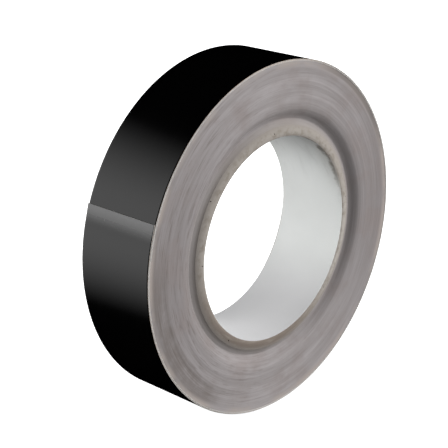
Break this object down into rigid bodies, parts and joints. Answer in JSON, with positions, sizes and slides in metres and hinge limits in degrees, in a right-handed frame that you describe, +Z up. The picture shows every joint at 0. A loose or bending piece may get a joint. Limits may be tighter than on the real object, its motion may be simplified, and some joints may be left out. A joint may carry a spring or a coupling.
{
  "type": "copper foil tape roll",
  "caption": "Wide roll of black-faced adhesive copper foil tape on a spiral-wound paperboard core, with a release liner and a loose cut end that peels up.",
  "frame": {"origin": "on the bore's axis, halfway across the tape's width", "axes": "+Y along the bore, away from the dished side that shows; +Z up, with the roll standing on its rim and the tape's cut end at the upper left seen from -Y"},
  "size_m": [0.1316, 0.0344, 0.1315],
  "materials": {
    "bore_paper": "matt white core paper",
    "core_board": "cut greyboard",
    "face_paper": "smooth kraft paper",
    "tab": "double-sided tissue tape",
    "wound_edge": "slit edges of the wound turns, satin",
    "liner_paper": "siliconed kraft paper",
    "adhesive": "clear acrylic adhesive",
    "copper": "bright rolled copper",
    "black_film": "glossy black film"
  },
  "bodies": {
    "roll": {"core_bore_ply": "bore_paper", "core_board_ply_1": "core_board", "core_board_ply_2": "core_board", "core_board_ply_3": "core_board", "core_board_ply_4": "core_board", "core_board_ply_5": "core_board", "core_board_ply_6": "core_board", "core_board_ply_7": "core_board", "core_face_ply": "face_paper", "start_tab": "tab", "wound_turns": "wound_edge", "release_liner": "liner_paper", "adhesive": "adhesive", "copper_foil": "copper", "black_film": "black_film"},
    "free_end": {"adhesive_end": "adhesive", "copper_foil_end": "copper", "black_film_end": "black_film"},
    "liner_end": {"release_liner_end": "liner_paper"}
  },
  "joints": [
    {"name": "end_peel", "type": "hinge", "parent": "roll", "child": "free_end", "pos_m": [-0.0648, 0, 0.01165], "axis": [0, -1, 0], "range_deg": [0, 80]},
    {"name": "liner_peel", "type": "hinge", "parent": "roll", "child": "liner_end", "pos_m": [-0.06467, 0, 0.01163], "axis": [0, -1, 0], "range_deg": [0, 40]}
  ],
  "couplings": [
    {"joint": "liner_peel", "follows": "end_peel", "ratio": 0.5}
  ]
}
